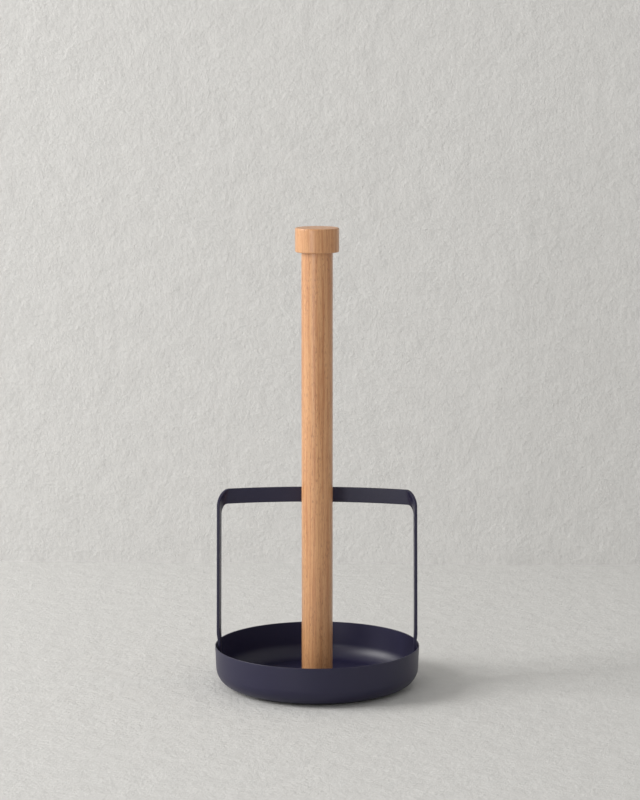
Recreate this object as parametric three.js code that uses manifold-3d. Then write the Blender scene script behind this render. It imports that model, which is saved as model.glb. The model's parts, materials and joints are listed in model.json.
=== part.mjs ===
// A counter-top paper towel holder: a round pressed-steel tray on a non-slip pad, a beech
// post with a turned beech cap, and a flat steel bail that stands over the tray on two
// pivots and rests against the back of the roll.
//
// Millimetres, +Z up. The origin is on the table, at the middle of the pad's underside.
// +X is to the right and -Y is to the front. The bail turns about the X direction.

import * as THREE from 'three';
import { mergeVertices } from 'three/addons/utils/BufferGeometryUtils.js';
import Module from 'manifold-3d';

const wasm = await Module();
wasm.setup();

// ---- driving dimensions ------------------------------------------------------------------

const GAP = 0.3;                    // clearance between pieces that touch or turn

const TRAY_RIM_RADIUS = 82.5;       // outside, at the rim
const TRAY_RIM_HEIGHT = 33;         // rim above the table
const TRAY_UNDERSIDE = 1.5;         // tray floor's underside above the table
const TRAY_SHEET = 0.9;
const TRAY_CORNER_RADIUS = 14;      // outside bend between floor and wall
const TRAY_DRAFT = THREE.MathUtils.degToRad(2.4);   // the wall opens out upwards
const RIM_ROUND = 0.3;              // broken edge round the rim
const SEAT_INNER_RADIUS = 14;       // the roll's seat on the floor begins here, clear of the post

const PAD_RADIUS = 66.5;
const PAD_HOLE_RADIUS = 9;          // clear of the screw's head
const PAD_THICKNESS = 1.2;

const POST_RADIUS = 12.5;
const POST_SOCKET_RADIUS = 4.3;     // bore for the insert below, and for the dowel above
const FOOT_SOCKET_DEPTH = 20;
const TOP_SOCKET_DEPTH = 16;

const CAP_RADIUS = 17.5;
const CAP_BOTTOM = 351;
const CAP_TOP = 370.3;
const CAP_RECESS_DEPTH = 3;         // the post's end sits this far inside the cap
const CAP_SOCKET_DEPTH = 13;
const CAP_EDGE = 1.1;               // rounding of the cap's two rims

const SCREW_RADIUS = 2.5;           // M5
const SCREW_HEAD_RADIUS = 6.5;      // a flat wafer head
const SCREW_HEAD_HEIGHT = 1;
const SCREW_LENGTH = 16;
const INSERT_LENGTH = 13;

const STRAP_WIDTH = 12.2;
const STRAP_THICKNESS = 2.3;
const STRAP_EDGE = 0.45;            // chamfer along the strap's four edges
const LEG_CENTRE = 79.5;            // axis to the middle of a leg, where its full toe starts
const LEG_TOP_CENTRE = 78.8;        // and where it turns into the bar
const LEG_TOE = THREE.MathUtils.degToRad(3.8);  // the legs' rear edges stand closer together
const FOOT_CENTRE = 78.9;           // axis to the middle of a leg's flat foot
const FOOT_TOP = 34;                // the foot is flat up to here
const TOE_START = 44;               // the leg has its full toe from here up
const BAIL_TOP = 159;               // top edge of the cross bar
const OUTER_CORNER = { run: 7.5, rise: 11.5 };  // the outer edge's turn from leg to bar
const INNER_CORNER = { run: 6, rise: 9 };       // the inner edge's turn
const CORNER_STEPS = 14;
const BAR_BOW_RADIUS = 235;         // the bar's curve in plan, hollow side to the post
const BAR_MIDDLE_DEPTH = 18.5;      // the bar's middle behind the post's axis

const PIVOT_HEIGHT = 19;
const PIN_RADIUS = 2;
const PIN_INNER_END = 73.5;         // from the axis
const WASHER_RADIUS = 4.6;
const WASHER_THICKNESS = 0.8;
const NUT_ACROSS_FLATS = 7;
const NUT_HEIGHT = 2.6;             // hexagon part of the domed nut
const NUT_DOME_RADIUS = 3.1;

const ROUND_STEPS = { large: 96, medium: 64, small: 32 };

const POST_FOOT = TRAY_UNDERSIDE + TRAY_SHEET + GAP;
const POST_TOP = CAP_BOTTOM + CAP_RECESS_DEPTH - GAP;
const FOOT_OUTER_FACE = FOOT_CENTRE + STRAP_THICKNESS / 2;
const FOOT_INNER_FACE = FOOT_CENTRE - STRAP_THICKNESS / 2;

// ---- materials ---------------------------------------------------------------------------

const finish = (name, color, roughness, metalness = 0) =>
  new THREE.MeshStandardMaterial({ name, color, roughness, metalness });

const POWDER_COAT = finish('powder_coat', 0x22212c, 0.55);
const BEECH_POST = finish('beech_post', 0xd2a47c, 0.6);
const BEECH_CAP = finish('beech_cap', 0xcfa072, 0.6);
const DOWEL_WOOD = finish('dowel_wood', 0xd9b48a, 0.7);
const ZINC_STEEL = finish('zinc_steel', 0xb9bcc0, 0.35, 1);
const INSERT_BRASS = finish('insert_brass', 0xb08d57, 0.4, 1);
const DARK_NYLON = finish('dark_nylon', 0x26262b, 0.5);
const PAD_FOAM = finish('pad_foam', 0x2a292b, 0.95);

// ---- shape helpers -----------------------------------------------------------------------

// Positions only, shared vertices merged, and no triangle with two equal corners.
function welded(geometry) {
  const bare = geometry.clone();
  bare.deleteAttribute('normal');
  bare.deleteAttribute('uv');
  const merged = mergeVertices(bare, 1e-4);
  const index = merged.getIndex().array;
  const kept = [];
  for (let i = 0; i < index.length; i += 3) {
    const [a, b, c] = [index[i], index[i + 1], index[i + 2]];
    if (a !== b && b !== c && a !== c) kept.push(a, b, c);
  }
  merged.setIndex(kept);
  return merged;
}

function toManifold(geometry) {
  const mesh = welded(geometry);
  return new wasm.Manifold(new wasm.Mesh({
    numProp: 3,
    vertProperties: new Float32Array(mesh.getAttribute('position').array),
    triVerts: new Uint32Array(mesh.getIndex().array),
  }));
}

function toGeometry(manifold) {
  const mesh = manifold.getMesh();
  const geometry = new THREE.BufferGeometry();
  geometry.setAttribute('position', new THREE.BufferAttribute(mesh.vertProperties, 3));
  geometry.setIndex(new THREE.BufferAttribute(mesh.triVerts, 1));
  geometry.computeVertexNormals();
  return geometry;
}

// A turned solid about +Z. The outline lists [radius, height] and is walked upwards
// along the outside.
function turned(outline, steps) {
  const points = outline.map(([radius, height]) => new THREE.Vector2(radius, height));
  const geometry = welded(new THREE.LatheGeometry(points, steps).rotateX(Math.PI / 2));
  geometry.computeVertexNormals();
  return geometry;
}

// Points along a circular arc in an outline, from one angle to another, both included.
function arc(centreRadius, centreHeight, radius, fromAngle, toAngle, steps) {
  return Array.from({ length: steps + 1 }, (_, i) => {
    const angle = fromAngle + (toAngle - fromAngle) * (i / steps);
    return [centreRadius + radius * Math.cos(angle), centreHeight + radius * Math.sin(angle)];
  });
}

function piece(name, geometry, material) {
  const mesh = new THREE.Mesh(geometry, material);
  mesh.name = name;
  return mesh;
}

// ---- tray and pad ------------------------------------------------------------------------

// One skin of the tray, offset inwards from the outside by the given distance, from the
// floor out to the rim. The wall's draft decides where the bend meets it.
function traySkin(inset) {
  const bend = TRAY_CORNER_RADIUS - inset;
  const floor = TRAY_UNDERSIDE + inset;
  const bendHeight = TRAY_UNDERSIDE + TRAY_CORNER_RADIUS;
  const rise = TRAY_RIM_HEIGHT - bendHeight;
  const bendCentre = TRAY_RIM_RADIUS - rise * Math.tan(TRAY_DRAFT)
    - TRAY_CORNER_RADIUS / Math.cos(TRAY_DRAFT);
  const rimRadius = TRAY_RIM_RADIUS - inset / Math.cos(TRAY_DRAFT);
  return {
    bend: arc(bendCentre, floor + bend, bend, -Math.PI / 2, -TRAY_DRAFT, 8),
    rimRadius,
  };
}

function tray() {
  const hole = SCREW_RADIUS + GAP;
  const outside = traySkin(0);
  const inside = traySkin(TRAY_SHEET);
  const outline = [
    [hole, TRAY_UNDERSIDE],
    ...outside.bend,
    [outside.rimRadius, TRAY_RIM_HEIGHT - RIM_ROUND],
    [outside.rimRadius - RIM_ROUND / 2, TRAY_RIM_HEIGHT],
    [inside.rimRadius + RIM_ROUND / 2, TRAY_RIM_HEIGHT],
    [inside.rimRadius, TRAY_RIM_HEIGHT - RIM_ROUND],
    ...inside.bend.reverse(),
    [SEAT_INNER_RADIUS, TRAY_UNDERSIDE + TRAY_SHEET],
    [hole, TRAY_UNDERSIDE + TRAY_SHEET],
    [hole, TRAY_UNDERSIDE],
  ];
  return piece('tray', turned(outline, ROUND_STEPS.large), POWDER_COAT);
}

// The pad is open in the middle, where the screw's head is.
function nonSlipPad() {
  const edge = 0.25;
  const outline = [
    [PAD_HOLE_RADIUS, 0],
    [PAD_RADIUS - edge, 0],
    [PAD_RADIUS, edge],
    [PAD_RADIUS, PAD_THICKNESS - edge],
    [PAD_RADIUS - edge, PAD_THICKNESS],
    [PAD_HOLE_RADIUS, PAD_THICKNESS],
    [PAD_HOLE_RADIUS, 0],
  ];
  return piece('non_slip_pad', turned(outline, ROUND_STEPS.large), PAD_FOAM);
}

// ---- post, its insert and screw ----------------------------------------------------------

function post() {
  const edge = 0.5;
  const outline = [
    [0, POST_FOOT + FOOT_SOCKET_DEPTH],
    [POST_SOCKET_RADIUS, POST_FOOT + FOOT_SOCKET_DEPTH],
    [POST_SOCKET_RADIUS, POST_FOOT],
    [POST_RADIUS - edge, POST_FOOT],
    [POST_RADIUS, POST_FOOT + edge],
    [POST_RADIUS, POST_TOP - edge],
    [POST_RADIUS - edge, POST_TOP],
    [POST_SOCKET_RADIUS, POST_TOP],
    [POST_SOCKET_RADIUS, POST_TOP - TOP_SOCKET_DEPTH],
    [0, POST_TOP - TOP_SOCKET_DEPTH],
  ];
  return piece('post', turned(outline, ROUND_STEPS.medium), BEECH_POST);
}

function threadedInsert() {
  const outer = POST_SOCKET_RADIUS - GAP;
  const inner = SCREW_RADIUS + GAP;
  const bottom = POST_FOOT + GAP;
  const outline = [
    [inner, bottom],
    [outer, bottom],
    [outer, bottom + INSERT_LENGTH],
    [inner, bottom + INSERT_LENGTH],
    [inner, bottom],
  ];
  return piece('threaded_insert', turned(outline, ROUND_STEPS.small), INSERT_BRASS);
}

// A wafer-head screw under the tray's floor, with a hexagon recess for the key.
function baseScrew() {
  const headTop = TRAY_UNDERSIDE - 0.1;
  const headBottom = headTop - SCREW_HEAD_HEIGHT;
  const tip = headTop + SCREW_LENGTH;
  const tipEdge = 0.5;
  const headEdge = 0.3;
  const outline = [
    [0, headBottom],
    [SCREW_HEAD_RADIUS - headEdge, headBottom],
    [SCREW_HEAD_RADIUS, headBottom + headEdge],
    [SCREW_HEAD_RADIUS, headTop],
    [SCREW_RADIUS, headTop],
    [SCREW_RADIUS, tip - tipEdge],
    [SCREW_RADIUS - tipEdge, tip],
    [0, tip],
  ];
  const keyAcrossFlats = 3;
  const keyDepth = 1.8;
  const keyRadius = keyAcrossFlats / Math.sqrt(3);
  const key = new THREE.CylinderGeometry(keyRadius, keyRadius, 2 * keyDepth, 6)
    .rotateX(Math.PI / 2).translate(0, 0, headBottom);
  const body = toManifold(turned(outline, ROUND_STEPS.small)).subtract(toManifold(key));
  return piece('base_screw', toGeometry(body), ZINC_STEEL);
}

// ---- cap and its dowel -------------------------------------------------------------------

function cap() {
  const recess = POST_RADIUS + GAP;
  const recessTop = CAP_BOTTOM + CAP_RECESS_DEPTH;
  const socketTop = recessTop + CAP_SOCKET_DEPTH;
  const round = CAP_RADIUS - CAP_EDGE;
  const outline = [
    [0, socketTop],
    [POST_SOCKET_RADIUS, socketTop],
    [POST_SOCKET_RADIUS, recessTop],
    [recess, recessTop],
    [recess, CAP_BOTTOM],
    ...arc(round, CAP_BOTTOM + CAP_EDGE, CAP_EDGE, -Math.PI / 2, 0, 3),
    ...arc(round, CAP_TOP - CAP_EDGE, CAP_EDGE, 0, Math.PI / 2, 3),
    [0, CAP_TOP],
  ];
  return piece('cap', turned(outline, ROUND_STEPS.medium), BEECH_CAP);
}

function capDowel() {
  const radius = POST_SOCKET_RADIUS - GAP;
  const bottom = POST_TOP - TOP_SOCKET_DEPTH + 1;
  const top = CAP_BOTTOM + CAP_RECESS_DEPTH + CAP_SOCKET_DEPTH - 1;
  const edge = 0.8;
  const outline = [
    [0, bottom],
    [radius - edge, bottom],
    [radius, bottom + edge],
    [radius, top - edge],
    [radius - edge, top],
    [0, top],
  ];
  return piece('cap_dowel', turned(outline, ROUND_STEPS.small), DOWEL_WOOD);
}

// ---- bail --------------------------------------------------------------------------------

// The strap's path with the strap's own directions along it. It goes up the left leg, turns
// into the cross bar, and comes down the right leg. On a leg the strap's width runs front to
// back, with a slight toe above the flat foot; on the bar it stands upright. In the corner
// the leg's front edge sweeps back and up to become the bar's top edge, and its rear edge
// becomes the bar's bottom edge.
class StrapPath extends THREE.Curve {
  constructor(footHeight) {
    super();
    const half = STRAP_WIDTH / 2;
    const outer = StrapPath.edge(-half, BAIL_TOP, OUTER_CORNER, footHeight);
    const inner = StrapPath.edge(half, BAIL_TOP - STRAP_WIDTH, INNER_CORNER, footHeight);
    const left = outer.map((point, i) => ({ outer: point, inner: inner[i] }));
    const flip = (point) => new THREE.Vector3(-point.x, point.y, point.z);
    const right = left.slice(0, -1).reverse()
      .map((pair) => ({ outer: flip(pair.outer), inner: flip(pair.inner) }));
    this.pairs = [...left, ...right];
  }

  // One edge of the strap, from the left foot to the middle of the bar.
  static edge(legDepth, barHeight, corner, footHeight) {
    const barDepth = (x) => BAR_MIDDLE_DEPTH - BAR_BOW_RADIUS
      + Math.sqrt(BAR_BOW_RADIUS ** 2 - x ** 2);
    const onLeg = (centre, height) => new THREE.Vector3(
      -centre + legDepth * Math.sin(LEG_TOE), legDepth * Math.cos(LEG_TOE), height);
    const legTop = onLeg(LEG_TOP_CENTRE, barHeight - corner.rise);
    const barX = -LEG_TOP_CENTRE + corner.run;
    const barStart = new THREE.Vector3(barX, barDepth(barX), barHeight);
    const bow = Math.asin(-barX / BAR_BOW_RADIUS);
    const handle = 0.55;          // a cubic's handle for a round quarter turn
    const bend = new THREE.CubicBezierCurve3(
      legTop,
      legTop.clone().add(new THREE.Vector3(0, 0, handle * corner.rise)),
      barStart.clone().sub(new THREE.Vector3(Math.cos(bow), Math.sin(bow), 0)
        .multiplyScalar(handle * corner.run)),
      barStart,
    );
    const barSteps = 9;
    const bar = Array.from({ length: barSteps }, (_, i) => {
      const x = barX * (1 - (i + 1) / barSteps);
      return new THREE.Vector3(x, barDepth(x), barHeight);
    });
    const foot = [footHeight, FOOT_TOP].map((height) =>
      new THREE.Vector3(-FOOT_CENTRE, legDepth, height));
    return [...foot, onLeg(LEG_CENTRE, TOE_START), ...bend.getPoints(CORNER_STEPS), ...bar];
  }

  getPoint(t) {
    const pair = this.pairs[Math.round(t * (this.pairs.length - 1))];
    return pair.outer.clone().add(pair.inner).multiplyScalar(0.5);
  }

  getSpacedPoints() {
    return this.pairs.map((_, i) => this.getPoint(i / (this.pairs.length - 1)));
  }

  // The normals run across the strap and carry its width in the corner; the binormals are
  // square to its face.
  computeFrenetFrames() {
    const points = this.getSpacedPoints();
    const last = points.length - 1;
    const tangents = points.map((_, i) => points[Math.min(i + 1, last)].clone()
      .sub(points[Math.max(i - 1, 0)]).normalize());
    const normals = this.pairs.map(({ outer, inner }) =>
      outer.clone().sub(inner).divideScalar(STRAP_WIDTH));
    const binormals = tangents.map((tangent, i) =>
      new THREE.Vector3().crossVectors(tangent, normals[i]).normalize());
    return { tangents, normals, binormals };
  }
}

// The flat strap's section: its width along X, its thickness along Y.
function strapSection() {
  const w = STRAP_WIDTH / 2;
  const t = STRAP_THICKNESS / 2;
  const e = STRAP_EDGE;
  return new THREE.Shape([
    [w - e, -t], [w, -t + e], [w, t - e], [w - e, t],
    [-w + e, t], [-w, t - e], [-w, -t + e], [-w + e, -t],
  ].map(([x, y]) => new THREE.Vector2(x, y)));
}

// A round eye blank across both feet, drilled for the pivot pins.
function acrossX(radius, fromX, toX, steps) {
  return new THREE.CylinderGeometry(radius, radius, toX - fromX, steps)
    .rotateZ(Math.PI / 2).translate((fromX + toX) / 2, 0, PIVOT_HEIGHT);
}

function bail() {
  const path = new StrapPath(PIVOT_HEIGHT);
  const strap = new THREE.ExtrudeGeometry(strapSection(), {
    steps: path.pairs.length - 1,
    bevelEnabled: false,
    extrudePath: path,
  });
  let body = toManifold(strap);
  for (const side of [-1, 1]) {
    const [from, to] = side < 0
      ? [-FOOT_OUTER_FACE, -FOOT_INNER_FACE]
      : [FOOT_INNER_FACE, FOOT_OUTER_FACE];
    body = body.add(toManifold(acrossX(STRAP_WIDTH / 2, from, to, 32)));
    body = body.subtract(toManifold(acrossX(PIN_RADIUS + GAP, from - 1, to + 1, 24)));
  }
  return piece('bail', toGeometry(body), POWDER_COAT);
}

// ---- pivots ------------------------------------------------------------------------------

// A turned solid about the pivot line on one side. The outline's heights are distances
// from the tray's axis.
function pivotTurned(outline, side, steps) {
  return turned(outline, steps).rotateY(side * Math.PI / 2).translate(0, 0, PIVOT_HEIGHT);
}

// The wall's inside radius at a height above the bend.
function wallInside(height) {
  return traySkin(TRAY_SHEET).rimRadius - (TRAY_RIM_HEIGHT - height) * Math.tan(TRAY_DRAFT);
}

// A pin welded to the inside of the wall: the bail's leg turns on it.
function pivotPin(name, side) {
  const outerEnd = wallInside(PIVOT_HEIGHT - PIN_RADIUS) - GAP;
  const edge = 0.3;
  const outline = [
    [0, PIN_INNER_END],
    [PIN_RADIUS - edge, PIN_INNER_END],
    [PIN_RADIUS, PIN_INNER_END + edge],
    [PIN_RADIUS, outerEnd],
    [0, outerEnd],
  ];
  return piece(name, pivotTurned(outline, side, 24), ZINC_STEEL);
}

function washerOuterFace() {
  return FOOT_INNER_FACE - GAP;
}

function frictionWasher(name, side) {
  const outer = washerOuterFace();
  const hole = PIN_RADIUS + GAP;
  const outline = [
    [hole, outer - WASHER_THICKNESS],
    [WASHER_RADIUS, outer - WASHER_THICKNESS],
    [WASHER_RADIUS, outer],
    [hole, outer],
    [hole, outer - WASHER_THICKNESS],
  ];
  return piece(name, pivotTurned(outline, side, 32), DARK_NYLON);
}

// A domed nut that closes the pin's inner end.
function domedNut(name, side) {
  const mouth = washerOuterFace() - WASHER_THICKNESS - GAP;
  const shoulder = mouth - NUT_HEIGHT;
  const hexagonRadius = NUT_ACROSS_FLATS / Math.sqrt(3);
  const hexagon = new THREE.CylinderGeometry(hexagonRadius, hexagonRadius, NUT_HEIGHT, 6)
    .rotateZ(Math.PI / 2).translate(side * (mouth + shoulder) / 2, 0, PIVOT_HEIGHT);
  const dome = pivotTurned([
    ...arc(0, shoulder, NUT_DOME_RADIUS, -Math.PI / 2, 0, 5),
    [NUT_DOME_RADIUS, shoulder + 0.5],
    [0, shoulder + 0.5],
  ], side, 24);
  const bore = pivotTurned([
    [0, PIN_INNER_END - GAP],
    [PIN_RADIUS + GAP, PIN_INNER_END - GAP],
    [PIN_RADIUS + GAP, mouth + 1],
    [0, mouth + 1],
  ], side, 24);
  const body = toManifold(hexagon).add(toManifold(dome)).subtract(toManifold(bore));
  return piece(name, toGeometry(body), POWDER_COAT);
}

// ---- the assembly ------------------------------------------------------------------------

const holder = new THREE.Group();
holder.name = 'paper_towel_holder';
holder.add(nonSlipPad(), tray(), baseScrew(), threadedInsert(), post(), capDowel(), cap());
holder.add(bail());
for (const [label, side] of [['left', -1], ['right', 1]]) {
  holder.add(
    pivotPin(`${label}_pivot_pin`, side),
    frictionWasher(`${label}_friction_washer`, side),
    domedNut(`${label}_domed_nut`, side),
  );
}

export default holder;
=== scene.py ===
import json
import math

import bmesh
import bpy
from mathutils import Matrix, Vector


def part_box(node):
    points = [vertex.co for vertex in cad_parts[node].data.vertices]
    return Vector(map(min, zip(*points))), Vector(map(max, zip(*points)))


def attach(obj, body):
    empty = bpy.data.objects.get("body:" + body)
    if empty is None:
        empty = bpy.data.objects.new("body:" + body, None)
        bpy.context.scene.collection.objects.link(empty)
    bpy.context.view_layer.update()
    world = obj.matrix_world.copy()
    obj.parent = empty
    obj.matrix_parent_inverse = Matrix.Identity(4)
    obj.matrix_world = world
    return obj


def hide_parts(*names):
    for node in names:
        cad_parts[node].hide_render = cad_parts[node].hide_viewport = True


bl_info = {
    "name": "Paper Towel Holder",
    "version": (1, 0, 0),
    "blender": (4, 5, 0),
    "location": "View3D > Sidebar > Holder",
    "description": "A pressed-steel tray with a beech post and cap and a pivoting flat steel bail",
    "category": "Object",
}

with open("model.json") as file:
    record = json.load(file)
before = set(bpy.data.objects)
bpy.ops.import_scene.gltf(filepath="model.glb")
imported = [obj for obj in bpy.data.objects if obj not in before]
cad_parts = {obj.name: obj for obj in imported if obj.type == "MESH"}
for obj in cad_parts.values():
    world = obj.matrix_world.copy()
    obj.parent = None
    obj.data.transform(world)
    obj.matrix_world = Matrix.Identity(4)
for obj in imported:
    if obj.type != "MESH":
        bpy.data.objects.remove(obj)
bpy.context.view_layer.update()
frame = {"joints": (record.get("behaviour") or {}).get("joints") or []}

MM = 0.001
UP = Vector((0, 0, 1))


# ---- what the frame says about sizes and places --------------------------------------------

def joint_place(name):
    """The place of a joint in the frame, in metres."""
    joint = next(j for j in frame["joints"] if j["name"] == name)
    return Vector(joint["pos_m"])


TRAY_LOW, TRAY_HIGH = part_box("tray")
PAD_LOW, PAD_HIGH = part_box("non_slip_pad")
POST_LOW, POST_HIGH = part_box("post")
CAP_LOW, CAP_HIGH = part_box("cap")
DOWEL_LOW, DOWEL_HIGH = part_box("cap_dowel")
INSERT_LOW, INSERT_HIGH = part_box("threaded_insert")
SCREW_LOW, SCREW_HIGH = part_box("base_screw")
BAIL_LOW, BAIL_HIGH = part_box("bail")
PIN_LOW, PIN_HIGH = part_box("right_pivot_pin")
WASHER_LOW, WASHER_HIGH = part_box("right_friction_washer")
NUT_LOW, NUT_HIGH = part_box("right_domed_nut")
PIVOT = joint_place("bail_swing")


# ---- what a user may change ----------------------------------------------------------------

def length(name, description, default):
    """A length in metres, shown in the scene's unit."""
    return bpy.props.FloatProperty(
        name=name, description=description, default=default, min=0, unit="LENGTH", precision=5)


def angle(name, description, degrees):
    """An angle, given here in degrees."""
    return bpy.props.FloatProperty(
        name=name, description=description, default=math.radians(degrees), unit="ROTATION")


def colour(name, description, default):
    """A linear colour."""
    return bpy.props.FloatVectorProperty(
        name=name, description=description, default=default, size=3, min=0, max=1, subtype="COLOR")


def share(name, description, default):
    """A plain number from 0 to 1."""
    return bpy.props.FloatProperty(
        name=name, description=description, default=default, min=0, max=1, subtype="FACTOR")


class HolderTraySizes(bpy.types.PropertyGroup):
    """Sizes of the tray, the pad and the screw."""
    sheet: length("Sheet", "Thickness of the tray's steel", 0.9 * MM)
    bend: length("Bend", "Outside radius of the bend between floor and wall", 14 * MM)
    draft: angle("Draft", "How far the wall leans out", 2.4)
    rim_round: length("Rim round", "Rounding of the rim's two edges", 0.36 * MM)
    hole: length("Hole", "Radius of the screw's hole in the floor", 2.8 * MM)
    pad_hole: length("Pad hole", "Radius of the hole in the pad round the screw's head", 9 * MM)
    pad_edge: length("Pad edge", "Rounding of the pad's rims", 0.35 * MM)
    shank: length("Shank", "Radius over the screw's thread", 2.5 * MM)
    head: length("Head", "Height of the screw's flat head", 1.0 * MM)


class HolderWoodSizes(bpy.types.PropertyGroup):
    """Sizes of the post, the cap and the dowel between them."""
    post_edge: length("Post edge", "Rounding of the post's ends", 0.6 * MM)
    socket: length("Socket", "Radius of the bores for the dowel and the insert", 4.3 * MM)
    foot_socket: length("Foot bore", "Depth of the bore in the post's foot", 20 * MM)
    top_socket: length("Top bore", "Depth of the bore in the post's top", 16 * MM)
    cap_top_edge: length("Cap top edge", "Rounding of the cap's upper rim", 1.1 * MM)
    cap_low_edge: length("Cap lower edge", "Rounding of the cap's lower rim", 0.9 * MM)
    recess: length("Cap recess", "Depth of the recess that takes the post's end", 3 * MM)
    recess_gap: length("Recess gap", "Clearance round the post in the recess", 0.3 * MM)
    cap_socket: length("Cap bore", "Depth of the dowel's bore above the recess", 13 * MM)
    flutes: bpy.props.IntProperty(
        name="Flutes", description="Glue grooves round the dowel", default=18, min=8, max=36)


class HolderBailSizes(bpy.types.PropertyGroup):
    """Sizes of the flat steel bail."""
    thickness: length("Thickness", "Thickness of the strap", 2.3 * MM)
    edge: length("Edge", "Rounding along the strap's edges", 0.5 * MM)
    toe: angle("Toe", "How far the legs' rear edges turn in", 3.8)
    lean: length("Lean", "How much closer together the legs stand at the top, each", 0.7 * MM)
    outer_run: length("Outer run", "Outer turn's reach along the bar", 7.5 * MM)
    outer_rise: length("Outer rise", "Outer turn's reach down the leg", 11.5 * MM)
    inner_run: length("Inner run", "Inner turn's reach along the bar", 6 * MM)
    inner_rise: length("Inner rise", "Inner turn's reach down the leg", 9 * MM)
    handle: share("Turn fullness", "How full the turns from leg to bar are", 0.55)
    bow: length("Bow", "Radius of the bar's curve, seen from above", 235 * MM)
    foot: length("Foot", "Height of the flat foot above the pivot", 15 * MM)
    toe_start: length("Toe start", "Height above the pivot where the leg has its full toe", 25 * MM)
    foot_gap: length("Foot gap", "Clearance between the foot and its washer", 0.3 * MM)
    eye_hole: length("Eye hole", "Radius of the pivot hole in each foot", 2.3 * MM)


class HolderColours(bpy.types.PropertyGroup):
    """Colours of the finishes."""
    coat: colour(
        "Powder coat", "Matt navy black of the tray, bail and nuts", (0.0095, 0.0078, 0.0340))
    beech_light: colour("Beech, light", "Pale wood between the darker bands", (0.620, 0.328, 0.152))
    beech_dark: colour("Beech, dark", "Darker wood of the growth bands", (0.465, 0.198, 0.078))
    beech_fleck: colour("Beech, fleck", "Short dark flecks", (0.270, 0.105, 0.042))
    foam: colour("Foam", "Closed-cell foam of the pad", (0.022, 0.021, 0.022))
    nylon: colour("Nylon", "Friction washers", (0.020, 0.020, 0.023))
    wall: colour("Wall", "Backdrop", (0.668, 0.662, 0.648))
    floor: colour("Floor", "Surface that the holder stands on", (0.615, 0.611, 0.597))


class HolderStage(bpy.types.PropertyGroup):
    """Camera, light and backdrop."""
    distance: length("Camera distance", "Level distance from the post to the camera", 2.1094)
    height: length("Camera height", "Camera above the floor", 0.5356)
    side: angle("Camera side", "How far the camera stands to the right of the front", 2.0)
    pitch: angle("Camera pitch", "How far the camera looks down", 8.176)
    turn: angle("Camera turn", "How far it looks past the post to the right", 0.062)
    lens: bpy.props.FloatProperty(
        name="Lens", description="Focal length on a 36 mm frame", default=120.14, min=1,
        unit="CAMERA")
    wall_distance: length("Wall distance", "Wall behind the post", 0.483)
    key_power: bpy.props.FloatProperty(
        name="Key power", description="Power of the softbox on the left", default=92, unit="POWER")
    strip_power: bpy.props.FloatProperty(
        name="Strip power", description="Power of the small panel at the front left", default=8,
        unit="POWER")
    fill_power: bpy.props.FloatProperty(
        name="Fill power", description="Power of the panel on the right", default=1.5, unit="POWER")
    world: share("World light", "Strength of the even light from all round", 0.53)


GROUPS = {
    "holder_tray": HolderTraySizes,
    "holder_wood": HolderWoodSizes,
    "holder_bail": HolderBailSizes,
    "holder_colours": HolderColours,
    "holder_stage": HolderStage,
}


# ---- modelling helpers ---------------------------------------------------------------------

def deselect():
    """Nothing is selected, so that the next operator acts on the new object alone."""
    if bpy.context.mode != "OBJECT":
        bpy.ops.object.mode_set(mode="OBJECT")
    bpy.ops.object.select_all(action="DESELECT")


def edit(obj, kind="VERT"):
    """Opens the object in edit mode with nothing selected."""
    deselect()
    obj.select_set(True)
    bpy.context.view_layer.objects.active = obj
    bpy.ops.object.mode_set(mode="EDIT")
    bpy.ops.mesh.select_mode(type=kind)
    bpy.ops.mesh.select_all(action="DESELECT")


def done():
    bpy.ops.object.mode_set(mode="OBJECT")


def select_parts(obj, kind, test):
    """Selects the vertices, edges or faces in edit mode that pass a test."""
    bpy.ops.mesh.select_mode(type=kind)
    bpy.ops.mesh.select_all(action="DESELECT")
    mesh = bmesh.from_edit_mesh(obj.data)
    parts = {"VERT": mesh.verts, "EDGE": mesh.edges, "FACE": mesh.faces}[kind]
    chosen = [part for part in parts if test(part)]
    if not chosen:
        raise RuntimeError(f"{obj.name}: nothing to select")
    for part in chosen:
        part.select = True
    mesh.select_flush_mode()
    bmesh.update_edit_mesh(obj.data)


def apply_modifier(obj, kind, **settings):
    """Adds a modifier with these settings and applies it."""
    deselect()
    obj.select_set(True)
    bpy.context.view_layer.objects.active = obj
    bpy.ops.object.modifier_add(type=kind)
    modifier = obj.modifiers[-1]
    for key, value in settings.items():
        setattr(modifier, key, value)
    bpy.ops.object.modifier_apply(modifier=modifier.name)


def join(target, *others):
    """Joins other objects into the first."""
    deselect()
    for obj in (target, *others):
        obj.select_set(True)
    bpy.context.view_layer.objects.active = target
    bpy.ops.object.join()
    return target


def place_in_mesh(obj):
    """The object goes to the origin, unturned and unscaled, and its mesh keeps its place."""
    deselect()
    obj.select_set(True)
    bpy.context.view_layer.objects.active = obj
    bpy.ops.object.transform_apply(location=True, rotation=True, scale=True)


def cut(obj, tool, operation):
    """A boolean of two closed meshes; the tool is removed."""
    apply_modifier(obj, "BOOLEAN", operation=operation, object=tool, solver="EXACT")
    bpy.data.objects.remove(tool)


def close_mesh(obj):
    """Merges doubles and points every face outwards."""
    edit(obj)
    bpy.ops.mesh.select_all(action="SELECT")
    bpy.ops.mesh.remove_doubles(threshold=0.001 * MM)
    bpy.ops.mesh.normals_make_consistent(inside=False)
    done()


def smooth(obj, degrees=35):
    """Smooth shading with flat faces kept flat beside their rounded edges."""
    deselect()
    obj.select_set(True)
    bpy.context.view_layer.objects.active = obj
    bpy.ops.object.shade_smooth_by_angle(angle=math.radians(degrees))
    apply_modifier(obj, "WEIGHTED_NORMAL", keep_sharp=True, weight=60)


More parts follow.
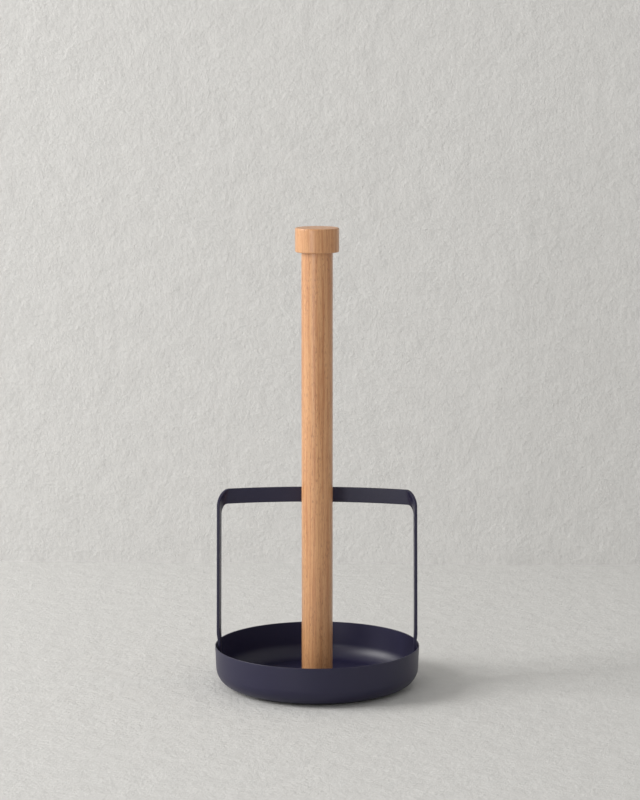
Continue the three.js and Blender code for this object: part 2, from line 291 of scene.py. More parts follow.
def single_vertex(name, place):
    """An object of one vertex, open in edit mode with that vertex selected."""
    deselect()
    bpy.ops.mesh.primitive_plane_add(size=MM, location=(0, 0, 0))
    obj = bpy.context.object
    obj.name = name
    obj.data.name = name
    edit(obj)
    bpy.ops.mesh.select_all(action="SELECT")
    bpy.ops.mesh.merge(type="CENTER")
    bpy.ops.transform.translate(value=place)
    return obj


def round_corner(obj, place, before, after, radius, steps):
    """Rounds one corner of an open outline to an arc of this radius."""
    turn = (place - before).angle(after - place)
    select_parts(obj, "VERT", lambda v: (v.co - place).length < 0.001 * MM)
    bpy.ops.mesh.bevel(
        offset=radius * math.tan(turn / 2), offset_type="OFFSET", segments=steps,
        profile=0.5, affect="VERTICES", clamp_overlap=False)


def turned(name, outline, steps, axis=UP, across=Vector((1, 0, 0)), centre=Vector((0, 0, 0))):
    """A turned solid. Each point of the outline is (radius, distance along the axis), and may
    add a corner radius and the number of steps in that corner's arc."""
    places = [centre + across * point[0] + axis * point[1] for point in outline]
    obj = single_vertex(name, places[0])
    for here, there in zip(places, places[1:]):
        bpy.ops.mesh.extrude_region_move(TRANSFORM_OT_translate={"value": there - here})
    for i, point in enumerate(outline):
        if len(point) == 4:
            round_corner(obj, places[i], places[i - 1], places[i + 1], point[2], point[3])
    bpy.ops.mesh.select_all(action="SELECT")
    bpy.ops.mesh.spin(steps=steps, angle=math.tau, center=centre, axis=axis)
    done()
    close_mesh(obj)
    return obj


def finished(obj, body, slot, material, *nodes):
    """Gives a piece its material and its body, and hides the CAD nodes that it stands for. The slot
    is not used.
    """
    obj.data.materials.clear()
    obj.data.materials.append(material)
    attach(obj, body)
    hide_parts(*nodes)


# ---- node helpers --------------------------------------------------------------------------

class Nodes:
    """Adds nodes to a tree, left to right, and joins them."""

    def __init__(self, tree):
        self.tree = tree
        self.column = 0

    def add(self, kind, inputs=None, **settings):
        """A node with its settings. Inputs are sockets to link from, or plain values."""
        node = self.tree.nodes.new(kind)
        node.location = (self.column * 200, 0)
        self.column += 1
        for key, value in settings.items():
            setattr(node, key, value)
        for key, value in (inputs or {}).items():
            socket = node.inputs[key]
            if isinstance(value, bpy.types.NodeSocket):
                self.tree.links.new(value, socket)
            else:
                socket.default_value = value
        return node

    def math(self, operation, *values):
        return self.add("ShaderNodeMath", dict(enumerate(values)), operation=operation).outputs[0]

    def noise(self, vector, scale, detail=2.0, roughness=0.5):
        inputs = {"Vector": vector, "Scale": scale, "Detail": detail, "Roughness": roughness}
        return self.add("ShaderNodeTexNoise", inputs).outputs["Fac"]

    def stretched(self, vector, scale):
        """Coordinates scaled differently along each axis."""
        return self.add("ShaderNodeMapping", {"Vector": vector, "Scale": scale}).outputs[0]

    def scaled(self, tone, level):
        """A colour times a number."""
        inputs = {0: tone, "Scale": level}
        return self.add("ShaderNodeVectorMath", inputs, operation="SCALE").outputs[0]

    def fade(self, value, low, high, out_low=0.0, out_high=1.0):
        """A value mapped smoothly from one range to another."""
        inputs = {"Value": value, "From Min": low, "From Max": high,
                  "To Min": out_low, "To Max": out_high}
        node = self.add("ShaderNodeMapRange", inputs, interpolation_type="SMOOTHSTEP", clamp=True)
        return node.outputs["Result"]

    def blend(self, factor, first, second):
        """A mix of two colours."""
        node = self.add("ShaderNodeMix", data_type="RGBA", blend_type="MIX")
        sockets = (node.inputs[0], node.inputs[6], node.inputs[7])
        for socket, value in zip(sockets, (factor, first, second)):
            if isinstance(value, bpy.types.NodeSocket):
                self.tree.links.new(value, socket)
            else:
                socket.default_value = value
        return node.outputs[2]


def rgba(three):
    return (*three, 1.0)


SURFACE_OUTPUTS = (
    ("Colour", "NodeSocketColor"),
    ("Roughness", "NodeSocketFloat"),
    ("Height", "NodeSocketFloat"),
)


def new_group(name, inputs, outputs):
    """A node group with named sockets. Inputs are (name, kind, default)."""
    group = bpy.data.node_groups.new(name, "ShaderNodeTree")
    for label, kind, default in inputs:
        socket = group.interface.new_socket(label, in_out="INPUT", socket_type=kind)
        if default is not None:
            socket.default_value = default
    for label, kind in outputs:
        group.interface.new_socket(label, in_out="OUTPUT", socket_type=kind)
    nodes = Nodes(group)
    entry = nodes.add("NodeGroupInput").outputs
    return group, nodes, entry


def close_group(nodes, **values):
    """Links the group's results to its output sockets."""
    nodes.add("NodeGroupOutput", {key.replace("_", " "): value for key, value in values.items()})


def wood_grain_group():
    """Beech, with its length along Z. Place is in millimetres. Growth bands curve round a heart
    outside the piece, with fine fibres, slow streaks and short dark flecks; faces across the
    grain show the bands' rings and tiny pores."""
    name = "wood_grain"
    if name in bpy.data.node_groups:
        return bpy.data.node_groups[name]
    group, n, entry = new_group(name, [
        ("Place", "NodeSocketVector", None),
        ("Light", "NodeSocketColor", (0.7, 0.4, 0.2, 1)),
        ("Dark", "NodeSocketColor", (0.5, 0.25, 0.1, 1)),
        ("Fleck", "NodeSocketColor", (0.25, 0.1, 0.04, 1)),
        ("Band Spacing", "NodeSocketFloat", 2.4),
        ("Fleck Amount", "NodeSocketFloat", 0.6),
    ], SURFACE_OUTPUTS)
    place = entry["Place"]

    # growth bands round the heart, wavering along the length
    waver = n.noise(n.stretched(place, (0.06, 0.06, 0.006)), 1.0, 3.0, 0.5)
    apart = n.add("ShaderNodeSeparateXYZ", {"Vector": place}).outputs
    from_heart_x = n.math("ADD", apart["X"], 34.0)
    from_heart_y = n.math("ADD", apart["Y"], -16.0)
    reach = n.math("SQRT", n.math("ADD", n.math("MULTIPLY", from_heart_x, from_heart_x),
                                  n.math("MULTIPLY", from_heart_y, from_heart_y)))
    wavering = n.math("MULTIPLY_ADD", waver, 9.0, reach)
    turn = n.math("FRACT", n.math("DIVIDE", wavering, entry["Band Spacing"]))
    rise = n.fade(turn, 0.15, 0.88)
    fall = n.fade(turn, 0.9, 1.0, 1.0, 0.0)
    band = n.math("MULTIPLY", rise, fall)

    # fine fibres and slow streaks along the length
    fibre = n.noise(n.stretched(place, (1.4, 1.4, 0.06)), 1.0, 3.0, 0.6)
    streak = n.noise(n.stretched(place, (0.42, 0.42, 0.010)), 1.0, 2.0, 0.5)

    # short dark flecks that gather in some places
    dash = n.noise(n.stretched(place, (1.5, 1.5, 0.28)), 1.0, 1.0, 0.4)
    gather = n.noise(n.stretched(place, (0.25, 0.25, 0.03)), 1.0, 1.0, 0.5)
    fleck = n.math("MULTIPLY", n.fade(dash, 0.55, 0.68), n.fade(gather, 0.38, 0.62, 0.35, 1.0))
    fleck = n.math("MULTIPLY", fleck, entry["Fleck Amount"])

    # across the grain: pores, and a slightly duller, darker tone
    geometry = n.add("ShaderNodeNewGeometry").outputs
    facing = n.add("ShaderNodeSeparateXYZ", {"Vector": geometry["True Normal"]}).outputs["Z"]
    end = n.fade(n.math("ABSOLUTE", facing), 0.8, 0.95)
    tubes = n.stretched(place, (1.0, 1.0, 0.02))
    pores = n.add("ShaderNodeTexVoronoi", {"Vector": tubes, "Scale": 3.2})
    pore = n.fade(pores.outputs["Distance"], 0.12, 0.26, 1.0, 0.0)

    amount = n.math("MULTIPLY_ADD", band, 0.35, 0.25)
    amount = n.math("ADD", amount, n.math("MULTIPLY_ADD", streak, 1.9, -0.95))
    amount = n.math("ADD", amount, n.math("MULTIPLY_ADD", fibre, 2.2, -1.10))
    amount = n.math("MINIMUM", n.math("MAXIMUM", amount, 0.0), 1.0)
    wood = n.blend(amount, entry["Light"], entry["Dark"])
    wood = n.blend(fleck, wood, entry["Fleck"])
    end_amount = n.math("MULTIPLY_ADD", band, 0.35, 0.30)
    end_wood = n.blend(end_amount, entry["Light"], entry["Dark"])
    end_wood = n.blend(n.math("MULTIPLY", pore, 0.35), end_wood, entry["Fleck"])
    tone = n.blend(end, wood, end_wood)

    rough = n.math("MULTIPLY_ADD", fibre, 0.16, 0.30)
    rough = n.math("MULTIPLY_ADD", end, 0.18, rough)
    side_height = n.math("SUBTRACT", fibre, n.math("MULTIPLY", fleck, 0.6))
    height = n.math("SUBTRACT", side_height, n.math("MULTIPLY", n.math("MULTIPLY", pore, end), 0.5))
    close_group(n, Colour=tone, Roughness=rough, Height=height)
    return group


def fine_texture_group():
    """An even, pebbled finish, such as powder coat, foam or moulded nylon. Place is in
    millimetres. Tone and Roughness vary gently round 1 and round the given roughness."""
    name = "fine_texture"
    if name in bpy.data.node_groups:
        return bpy.data.node_groups[name]
    group, n, entry = new_group(name, [
        ("Place", "NodeSocketVector", None),
        ("Colour", "NodeSocketColor", (0.03, 0.03, 0.04, 1)),
        ("Pebble Size", "NodeSocketFloat", 0.5),
        ("Roughness", "NodeSocketFloat", 0.5),
        ("Unevenness", "NodeSocketFloat", 0.1),
    ], SURFACE_OUTPUTS)
    place = entry["Place"]
    per_pebble = n.math("DIVIDE", 1.0, entry["Pebble Size"])
    pebble = n.add("ShaderNodeTexVoronoi", {"Vector": place, "Scale": per_pebble},
                   feature="SMOOTH_F1").outputs["Distance"]
    grain = n.noise(place, n.math("MULTIPLY", per_pebble, 1.7), 2.0, 0.6)
    cloud = n.noise(place, 0.045, 4.0, 0.55)
    height = n.math("MULTIPLY_ADD", grain, 0.5, n.math("MULTIPLY", pebble, -0.5))
    shift = n.math("MULTIPLY_ADD", cloud, 2.0, -1.0)
    shift = n.math("ADD", shift, n.math("ADD", grain, -0.5))
    level = n.math("MULTIPLY_ADD", shift, entry["Unevenness"], 1.0)
    tone = n.scaled(entry["Colour"], level)
    rough = n.math("MULTIPLY", entry["Unevenness"], 0.5)
    rough = n.math("MULTIPLY_ADD", shift, rough, entry["Roughness"])
    close_group(n, Colour=tone, Roughness=rough, Height=height)
    return group


def material_with_group(name, group, group_inputs, bump, distance, constants, centre=(0, 0, 0)):
    """A Principled material whose colour, roughness and bump come from a group that reads the
    object's own coordinates in millimetres. Constants are set on the shader itself."""
    if name in bpy.data.materials:
        return bpy.data.materials[name]
    material = bpy.data.materials.new(name)
    material.use_nodes = True
    tree = material.node_tree
    tree.nodes.clear()
    n = Nodes(tree)
    place = n.add("ShaderNodeTexCoord").outputs["Object"]
    per_mm = (1 / MM, 1 / MM, 1 / MM)
    place = n.add("ShaderNodeMapping", {"Vector": place, "Location": centre, "Scale": per_mm})
    effect = n.add("ShaderNodeGroup", node_tree=group)
    tree.links.new(place.outputs[0], effect.inputs["Place"])
    for key, value in group_inputs.items():
        effect.inputs[key].default_value = value
    relief = n.add("ShaderNodeBump", {"Height": effect.outputs["Height"], "Strength": bump,
                                      "Distance": distance})
    shader = n.add("ShaderNodeBsdfPrincipled", {
        "Base Color": effect.outputs["Colour"],
        "Roughness": effect.outputs["Roughness"],
        "Normal": relief.outputs[0],
        **constants,
    })
    n.add("ShaderNodeOutputMaterial", {"Surface": shader.outputs[0]})
    return material


# ---- materials -----------------------------------------------------------------------------

def powder_coat():
    colours = bpy.context.scene.holder_colours
    return material_with_group("navy_coat", fine_texture_group(), {
        "Colour": rgba(colours.coat), "Pebble Size": 0.42, "Roughness": 0.44, "Unevenness": 0.06,
    }, 0.25, 0.06 * MM, {"Metallic": 0.0, "IOR": 1.5, "Specular IOR Level": 0.5})


def beech(name, band_spacing, flecks, centre):
    colours = bpy.context.scene.holder_colours
    return material_with_group(name, wood_grain_group(), {
        "Light": rgba(colours.beech_light), "Dark": rgba(colours.beech_dark),
        "Fleck": rgba(colours.beech_fleck), "Band Spacing": band_spacing, "Fleck Amount": flecks,
    }, 0.35, 0.08 * MM, {"IOR": 1.5, "Specular IOR Level": 0.5, "Coat Weight": 0.5,
                         "Coat Roughness": 0.34}, centre)


def plain_texture(name, tone, pebble, roughness, unevenness, metallic=0.0, bump=0.3):
    return material_with_group(name, fine_texture_group(), {
        "Colour": rgba(tone), "Pebble Size": pebble, "Roughness": roughness, "Unevenness": unevenness,
    }, bump, 0.05 * MM, {"Metallic": metallic})


def zinc_plate():
    return plain_texture("zinc_plate", (0.52, 0.53, 0.55), 0.3, 0.32, 0.08, 1.0, 0.1)


def stage_material(name, tone, one_sided):
    """Pale matt plaster with a faint mottle and a fine grit. A one-sided surface is clear from
    behind."""
    material = bpy.data.materials.new(name)
    material.use_nodes = True
    tree = material.node_tree
    tree.nodes.clear()
    n = Nodes(tree)
    place = n.add("ShaderNodeTexCoord").outputs["Object"]
    mottle = n.noise(place, 55.0, 6.0, 0.62)
    level = n.fade(mottle, 0.3, 0.7, 0.975, 1.02)
    shade = n.scaled(tone, level)
    grit = n.noise(place, 240.0, 6.0, 0.7)
    height = n.math("ADD", grit, n.math("MULTIPLY", mottle, 2.0))
    relief = n.add("ShaderNodeBump", {"Height": height, "Strength": 0.7, "Distance": 1.2 * MM})
    shader = n.add("ShaderNodeBsdfPrincipled", {
        "Base Color": shade, "Roughness": 0.85, "Specular IOR Level": 0.2,
        "Normal": relief.outputs[0]})
    surface = shader.outputs[0]
    if one_sided:
        behind = n.add("ShaderNodeNewGeometry").outputs["Backfacing"]
        clear = n.add("ShaderNodeBsdfTransparent").outputs[0]
        surface = n.add("ShaderNodeMixShader", {0: behind, 1: surface, 2: clear}).outputs[0]
    n.add("ShaderNodeOutputMaterial", {"Surface": surface})
    return material


# ---- the tray, the pad and the screw -------------------------------------------------------

class HOLDER_OT_tray(bpy.types.Operator):
    """Make the round pressed-steel tray"""
    bl_idname = "holder.tray"
    bl_label = "Tray"

    def execute(self, context):
        size = context.scene.holder_tray
        lean = math.tan(size.draft)
        wall = size.sheet / math.cos(size.draft)
        rim_radius, rim, under = TRAY_HIGH.x, TRAY_HIGH.z, TRAY_LOW.z
        floor = under + size.sheet
        outer_foot = rim_radius - (rim - under) * lean
        inner_foot = rim_radius - wall - (rim - floor) * lean
        tray = turned("tray_body", [
            (size.hole, under),
            (outer_foot, under, size.bend, 20),
            (rim_radius, rim, size.rim_round, 4),
            (rim_radius - wall, rim, size.rim_round, 4),
            (inner_foot, floor, size.bend - size.sheet, 20),
            (size.hole, floor),
            (size.hole, under),
        ], 192)
        smooth(tray)
        finished(tray, "base", "powder_coat", powder_coat(), "tray")
        return {"FINISHED"}


class HOLDER_OT_base(bpy.types.Operator):
    """Make the non-slip pad and the screw that holds the post"""
    bl_idname = "holder.base"
    bl_label = "Pad and screw"

    def execute(self, context):
        size = context.scene.holder_tray
        low, high, radius = PAD_LOW.z, PAD_HIGH.z, PAD_HIGH.x
        pad = turned("foam_pad", [
            (size.pad_hole, low),
            (radius, low, size.pad_edge, 4),
            (radius, high, size.pad_edge, 4),
            (size.pad_hole, high),
            (size.pad_hole, low),
        ], 160)
        smooth(pad)
        tone = context.scene.holder_colours.foam
        foam = plain_texture("closed_cell_foam", tone, 0.7, 0.9, 0.2, bump=0.8)
        finished(pad, "base", "pad_foam", foam, "non_slip_pad")
        self.screw(size)
        return {"FINISHED"}

    def screw(self, size):
        """A screw with a flat wafer head, a hexagon recess and a thread's ridges."""
        low, high, radius = SCREW_LOW.z, SCREW_HIGH.z, SCREW_HIGH.x
        thread_depth, pitch = 0.3 * MM, 0.8 * MM
        core = size.shank - thread_depth
        seat = low + size.head
        outline = [(0, low), (radius, low, 0.3 * MM, 3), (radius, seat, 0.2 * MM, 2), (core, seat)]
        ridges = int((high - seat - 2 * pitch) / pitch)
        for i in range(ridges):
            foot = seat + (i + 1) * pitch
            outline.append((core, foot))
            outline.append((size.shank, foot + pitch / 2))
        outline.append((core, high - 0.4 * MM))
        outline.append((core - thread_depth, high))
        outline.append((0, high))
        screw = turned("wafer_screw", outline, 48)
        deselect()
        bpy.ops.mesh.primitive_cylinder_add(
            vertices=6, radius=3 * MM / math.sqrt(3), depth=3 * MM, location=(0, 0, low))
        cut(screw, bpy.context.object, "DIFFERENCE")
        close_mesh(screw)
        smooth(screw)
        finished(screw, "base", "zinc_steel", zinc_plate(), "base_screw")


# ---- the wood ------------------------------------------------------------------------------

class HOLDER_OT_post(bpy.types.Operator):
    """Make the beech post and the threaded insert in its foot"""
    bl_idname = "holder.post"
    bl_label = "Post and insert"

    def execute(self, context):
        size = context.scene.holder_wood
        low, high, radius = POST_LOW.z, POST_HIGH.z, POST_HIGH.x
        post = turned("post_dowel", [
            (0, low + size.foot_socket),
            (size.socket, low + size.foot_socket),
            (size.socket, low),
            (radius, low, size.post_edge, 4),
            (radius, high, size.post_edge, 4),
            (size.socket, high),
            (size.socket, high - size.top_socket),
            (0, high - size.top_socket),
        ], 128)
        smooth(post)
        finished(post, "base", "beech_post", beech("post_beech", 3.1, 0.55, (3, 5, 0)), "post")

        inner, outer = 2.8 * MM, INSERT_HIGH.x
        low, high = INSERT_LOW.z, INSERT_HIGH.z
        groove, ridges = 0.5 * MM, 6
        pitch = (high - low) / ridges
        outline = [(inner, low)]
        for i in range(ridges):
            outline.append((outer - groove, low + (i + 0.1) * pitch))
            outline.append((outer, low + (i + 0.35) * pitch))
            outline.append((outer, low + (i + 0.55) * pitch))
            outline.append((outer - groove, low + (i + 0.8) * pitch))
        outline += [(outer - groove, high), (inner, high), (inner, low)]
        insert = turned("brass_insert", outline, 48)
        smooth(insert)
        brass = plain_texture("turned_brass", (0.60, 0.44, 0.20), 0.3, 0.3, 0.08, 1.0, 0.1)
        finished(insert, "base", "insert_brass", brass, "threaded_insert")
        return {"FINISHED"}


class HOLDER_OT_cap(bpy.types.Operator):
    """Make the turned cap and the fluted dowel that joins it to the post"""
    bl_idname = "holder.cap"
    bl_label = "Cap and dowel"

    def execute(self, context):
        size = context.scene.holder_wood
        low, high, radius = CAP_LOW.z, CAP_HIGH.z, CAP_HIGH.x
        recess = POST_HIGH.x + size.recess_gap
        recess_top = low + size.recess
        cap = turned("turned_cap", [
            (0, recess_top + size.cap_socket),
            (size.socket, recess_top + size.cap_socket),
            (size.socket, recess_top),
            (recess, recess_top),
            (recess, low),
            (radius, low, size.cap_low_edge, 5),
            (radius, high, size.cap_top_edge, 5),
            (0, high),
        ], 128)
        smooth(cap)
        finished(cap, "base", "beech_cap", beech("cap_beech", 2.7, 0.4, (-6, 31, 140)), "cap")
        self.dowel(size)
        return {"FINISHED"}

    def dowel(self, size):
        """A hardwood dowel with straight glue grooves and chamfered ends."""
        radius, low, high = DOWEL_HIGH.x, DOWEL_LOW.z, DOWEL_HIGH.z
        chamfer, groove = 0.8 * MM, 0.35 * MM
        dowel = turned("fluted_dowel", [
            (0, low), (radius - chamfer, low), (radius, low + chamfer),
            (radius, high - chamfer), (radius - chamfer, high), (0, high),
        ], size.flutes * 4)
        edit(dowel)

        def in_groove(vertex):
            turn = math.atan2(vertex.co.y, vertex.co.x) / math.tau * size.flutes
            on_rim = math.hypot(vertex.co.x, vertex.co.y) > radius / 2
            return on_rim and abs(turn - round(turn)) < 0.05

        select_parts(dowel, "VERT", in_groove)
        shrink = 1 - groove / radius
        bpy.ops.transform.resize(value=(shrink, shrink, 1), center_override=(0, 0, (low + high) / 2))
        done()
        close_mesh(dowel)
        smooth(dowel, 25)
        wood = beech("dowel_beech", 2.2, 0.3, (17, 2, 60))
        finished(dowel, "base", "dowel_wood", wood, "cap_dowel")


# ---- the bail ------------------------------------------------------------------------------

class HOLDER_OT_bail(bpy.types.Operator):
    """Make the flat steel bail, which turns on the two pivots"""
    bl_idname = "holder.bail"
    bl_label = "Bail"

    def execute(self, context):
        size = context.scene.holder_bail
        half_width = PIVOT.z - BAIL_LOW.z
        foot_x = WASHER_HIGH.x + size.foot_gap + size.thickness / 2
        top = BAIL_HIGH.z
        outer = self.rail("bail_strap", size, -half_width, top, foot_x,
                          size.outer_run, size.outer_rise)
        inner = self.rail("bail_inner_edge", size, half_width, top - 2 * half_width, foot_x,
                          size.inner_run, size.inner_rise)
        bail = join(outer, inner)
        edit(bail, "EDGE")
        bpy.ops.mesh.select_all(action="SELECT")
        bpy.ops.mesh.bridge_edge_loops(number_cuts=3, interpolation="LINEAR")
        done()
        for side in (-1, 1):
            self.eye(bail, size, side * foot_x, half_width)
        close_mesh(bail)
        apply_modifier(bail, "SOLIDIFY", thickness=size.thickness, offset=0, use_even_offset=True)
        close_mesh(bail)
        apply_modifier(bail, "BEVEL", width=size.edge, segments=3, limit_method="ANGLE",
                       angle_limit=math.radians(50), use_clamp_overlap=False)
        smooth(bail)
        finished(bail, "arm", "powder_coat", powder_coat(), "bail")
        return {"FINISHED"}

    def rail(self, name, size, across, bar_height, foot_x, run, rise):
        """One long edge of the strap, from the left foot over the bar to the right foot. Across
        is how far behind the strap's middle the edge lies on the legs."""
        reach_out = (abs(across) - size.edge) * math.sin(size.toe)
        leg = BAIL_HIGH.x - size.thickness / 2 - reach_out
        leg_top = leg - size.lean
        middle_depth = BAIL_HIGH.y - size.thickness / 2
        bar_x = leg_top - run
        bow = math.asin(bar_x / size.bow)
        bar_depth = middle_depth - size.bow * (1 - math.cos(bow))
        along = Vector((math.cos(bow), math.sin(bow), 0))
        bar_handle = size.bow * math.tan(bow / 4) * 4 / 3
        inward = Vector((math.sin(size.toe), math.cos(size.toe), 0)) * across
        foot = Vector((-foot_x, across, PIVOT.z + size.foot))
        knee = Vector((-leg, 0, PIVOT.z + size.toe_start)) + inward
        top = Vector((-leg_top, 0, bar_height - rise)) + inward
        bar_start = Vector((-bar_x, bar_depth, bar_height))
        crank = UP * (knee.z - foot.z) / 3
        up = (top - knee) / 3
        left = [
            (foot - crank, foot, foot + crank),
            (knee - crank, knee, knee + up),
            (top - up, top, top + UP * size.handle * rise),
            (bar_start - along * size.handle * run, bar_start, bar_start + along * bar_handle),
        ]
        reach = Vector((bar_handle, 0, 0))
        middle = Vector((0, middle_depth, bar_height))
        flip = Matrix.Diagonal((-1, 1, 1))
        right = [tuple(flip @ place for place in reversed(point)) for point in reversed(left)]
        deselect()
        bpy.ops.curve.primitive_bezier_curve_add(location=(0, 0, 0))
        rail = bpy.context.object
        rail.name = name
        rail.data.resolution_u = 20
        spline = rail.data.splines[0]
        path = [*left, (middle - reach, middle, middle + reach), *right]
        spline.bezier_points.add(len(path) - len(spline.bezier_points))
        for point, (before, place, after) in zip(spline.bezier_points, path):
            point.handle_left_type = "FREE"
            point.handle_right_type = "FREE"
            point.handle_left = before
            point.co = place
            point.handle_right = after
        bpy.ops.object.convert(target="MESH")
        return bpy.context.object

    def eye(self, bail, size, foot_x, half_width):
        """The strap's flat foot: it ends in a half round about the pivot hole."""
        place = (foot_x, 0, PIVOT.z)
        deselect()
        bpy.ops.mesh.primitive_circle_add(
            vertices=64, radius=half_width, location=place, rotation=(0, math.pi / 2, 0))
        outline = bpy.context.object
        place_in_mesh(outline)
        edit(outline)
        select_parts(outline, "VERT", lambda v: v.co.z > PIVOT.z + 0.01 * MM)
        bpy.ops.mesh.delete(type="VERT")
        select_parts(outline, "VERT", lambda v: v.co.z > PIVOT.z - 0.01 * MM)
        bpy.ops.mesh.extrude_region_move(TRANSFORM_OT_translate={"value": (0, 0, size.foot)})
        done()
        deselect()
        bpy.ops.mesh.primitive_circle_add(
            vertices=40, radius=size.eye_hole, location=place, rotation=(0, math.pi / 2, 0))
        hole = bpy.context.object
        place_in_mesh(hole)
        join(bail, outline, hole)
        edit(bail)
        bpy.ops.mesh.select_all(action="SELECT")
        bpy.ops.mesh.remove_doubles(threshold=0.01 * MM)

        def round_the_foot(edge):
            low = all(v.co.z < PIVOT.z + size.foot + 0.01 * MM and v.co.x * foot_x > 0
                      for v in edge.verts)
            return low and len(edge.link_faces) < 2

        select_parts(bail, "EDGE", round_the_foot)
        bpy.ops.mesh.fill(use_beauty=True)
        done()


# ---- the pivots ----------------------------------------------------------------------------

class HOLDER_OT_pivots(bpy.types.Operator):
    """Make the welded pins, the friction washers and the domed nuts"""
    bl_idname = "holder.pivots"
    bl_label = "Pivots"

    def execute(self, context):
        for label, side in (("left", -1), ("right", 1)):
            self.pin(label, side)
            self.washer(label, side)
            self.nut(label, side)
        return {"FINISHED"}

    def about_pivot(self, name, outline, side, steps):
        """A turned solid about the pivot line; distances along it are from the post's axis."""
        return turned(name, outline, steps, Vector((side, 0, 0)), UP, Vector((0, 0, PIVOT.z)))

    def pin(self, label, side):
        inner, outer = PIN_LOW.x, PIN_HIGH.x
        radius = PIN_HIGH.z - PIVOT.z
        pin = self.about_pivot(f"{label}_welded_pin", [
            (0, inner),
            (radius, inner, 0.4 * MM, 3),
            (radius, outer),
            (0, outer),
        ], side, 48)
        smooth(pin)
        finished(pin, "base", "zinc_steel", zinc_plate(), f"{label}_pivot_pin")

    def washer(self, label, side):
        inner, outer = WASHER_LOW.x, WASHER_HIGH.x
        radius, hole, edge = WASHER_HIGH.z - PIVOT.z, 2.3 * MM, 0.15 * MM
        washer = self.about_pivot(f"{label}_nylon_washer", [
            (hole, inner),
            (radius, inner, edge, 3),
            (radius, outer, edge, 3),
            (hole, outer),
            (hole, inner),
        ], side, 64)
        smooth(washer)
        nylon = plain_texture("washer_nylon", bpy.context.scene.holder_colours.nylon, 0.35, 0.5, 0.1)
        finished(washer, "base", "dark_nylon", nylon, f"{label}_friction_washer")

    def nut(self, label, side):
        """A hexagon with turned-off corners under a round dome, bored for the pin."""
        mouth, tip = NUT_HIGH.x, NUT_LOW.x
        dome = 3.1 * MM
        shoulder = tip + dome
        flats = NUT_HIGH.y
        corner = flats * 2 / math.sqrt(3)
        chamfer = corner - flats
        bore = 2.3 * MM
        nut = self.about_pivot(f"{label}_cap_nut", [
            (0, shoulder),
            (flats, shoulder),
            (corner, shoulder + chamfer * 0.6),
            (corner, mouth - chamfer * 0.6),
            (flats, mouth),
            (0, mouth),
        ], side, 96)
        deselect()
        bpy.ops.mesh.primitive_cylinder_add(
            vertices=6, radius=corner, depth=4 * (mouth - shoulder),
            location=(side * (mouth + shoulder) / 2, 0, PIVOT.z), rotation=(0, math.pi / 2, 0))
        hexagon = bpy.context.object
        place_in_mesh(hexagon)
        cut(nut, hexagon, "INTERSECT")
        rounded = self.about_pivot("dome", [
            (0, tip),
            (dome, tip, dome * 0.98, 14),
            (dome, shoulder + 0.5 * MM),
            (0, shoulder + 0.5 * MM),
        ], side, 48)
        cut(nut, rounded, "UNION")
        hollow = self.about_pivot("bore", [
            (0, PIN_LOW.x - 0.3 * MM),
            (bore, PIN_LOW.x - 0.3 * MM),
            (bore, mouth + MM),
            (0, mouth + MM),
        ], side, 40)
        cut(nut, hollow, "DIFFERENCE")
        close_mesh(nut)
        smooth(nut, 30)
        finished(nut, "base", "powder_coat", powder_coat(), f"{label}_domed_nut")


# ---- the stage -----------------------------------------------------------------------------

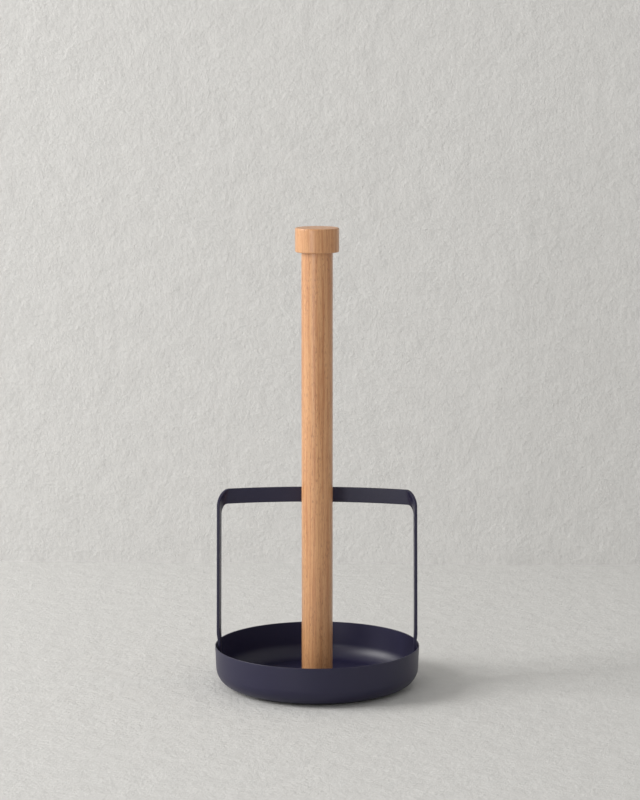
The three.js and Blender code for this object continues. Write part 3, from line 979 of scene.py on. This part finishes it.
class HOLDER_OT_stage(bpy.types.Operator):
    """Make the floor, the wall, the lights and the camera"""
    bl_idname = "holder.stage"
    bl_label = "Stage"

    def execute(self, context):
        stage = context.scene.holder_stage
        colours = context.scene.holder_colours
        floor = stage_material("pale_floor", colours.floor, False)
        wall = stage_material("pale_wall", colours.wall, True)
        self.plane("floor", (0, 0, 0), (0, 0, 0), (30, 30), floor)
        self.plane("wall", (0, stage.wall_distance, 1.2), (math.pi / 2, 0, 0), (3.2, 2.4), wall)
        self.panel("key", (-2.75, -0.43, 1.55), (0, 0.1, 0.15), (1.6, 1.6),
                   stage.key_power, (1.0, 0.99, 0.975))
        self.panel("strip", (-1.0, -2.0, 0.42), (0, 0, 0.15), (0.5, 0.7),
                   stage.strip_power, (1.0, 1.0, 1.0))
        self.panel("fill", (1.8, -1.2, 1.0), (0, 0, 0.15), (1.6, 1.6),
                   stage.fill_power, (0.96, 0.98, 1.0))
        self.world(context.scene, stage.world)
        self.camera(context.scene, stage)
        context.scene.view_settings.view_transform = "Standard"
        return {"FINISHED"}

    def plane(self, name, place, turn, size, material):
        deselect()
        bpy.ops.mesh.primitive_plane_add(size=1, location=place, rotation=turn)
        plane = bpy.context.object
        plane.name = name
        plane.scale = (*size, 1)
        place_in_mesh(plane)
        plane.data.materials.append(material)

    def panel(self, name, place, target, size, power, tint):
        """A rectangular softbox that faces a point."""
        deselect()
        facing = (Vector(target) - Vector(place)).to_track_quat("-Z", "Y").to_euler()
        bpy.ops.object.light_add(type="AREA", location=place, rotation=facing)
        light = bpy.context.object
        light.name = name
        light.data.shape = "RECTANGLE"
        light.data.size, light.data.size_y = size
        light.data.energy = power
        light.data.color = tint

    def world(self, scene, strength):
        world = bpy.data.worlds.new("even_light")
        scene.world = world
        world.use_nodes = True
        backdrop = world.node_tree.nodes["Background"]
        backdrop.inputs["Color"].default_value = (1.0, 0.99, 0.97, 1)
        backdrop.inputs["Strength"].default_value = strength

    def camera(self, scene, stage):
        place = Vector((math.sin(stage.side), -math.cos(stage.side), 0)) * stage.distance
        place.z = stage.height
        turn = (math.pi / 2 - stage.pitch, 0, stage.side - stage.turn)
        deselect()
        bpy.ops.object.camera_add(location=place, rotation=turn)
        camera = bpy.context.object
        camera.name = "camera"
        camera.data.lens = stage.lens
        scene.camera = camera


# ---- the add-on ----------------------------------------------------------------------------

OPERATORS = (
    HOLDER_OT_tray,
    HOLDER_OT_base,
    HOLDER_OT_post,
    HOLDER_OT_cap,
    HOLDER_OT_bail,
    HOLDER_OT_pivots,
    HOLDER_OT_stage,
)


class HOLDER_PT_sidebar(bpy.types.Panel):
    """The holder's pieces, in the order that they are made"""
    bl_label = "Paper Towel Holder"
    bl_space_type = "VIEW_3D"
    bl_region_type = "UI"
    bl_category = "Holder"

    def draw(self, context):
        for operator in OPERATORS:
            self.layout.operator(operator.bl_idname)


def register():
    for group in GROUPS.values():
        bpy.utils.register_class(group)
    for name, group in GROUPS.items():
        setattr(bpy.types.Scene, name, bpy.props.PointerProperty(type=group))
    for operator in OPERATORS:
        bpy.utils.register_class(operator)
    bpy.utils.register_class(HOLDER_PT_sidebar)


def unregister():
    bpy.utils.unregister_class(HOLDER_PT_sidebar)
    for operator in reversed(OPERATORS):
        bpy.utils.unregister_class(operator)
    for name in GROUPS:
        delattr(bpy.types.Scene, name)
    for group in GROUPS.values():
        bpy.utils.unregister_class(group)


def main():
    """Makes the whole holder and its stage."""
    register()
    bpy.ops.holder.tray()
    bpy.ops.holder.base()
    bpy.ops.holder.post()
    bpy.ops.holder.cap()
    bpy.ops.holder.bail()
    bpy.ops.holder.pivots()
    bpy.ops.holder.stage()


if __name__ == "__main__":
    main()
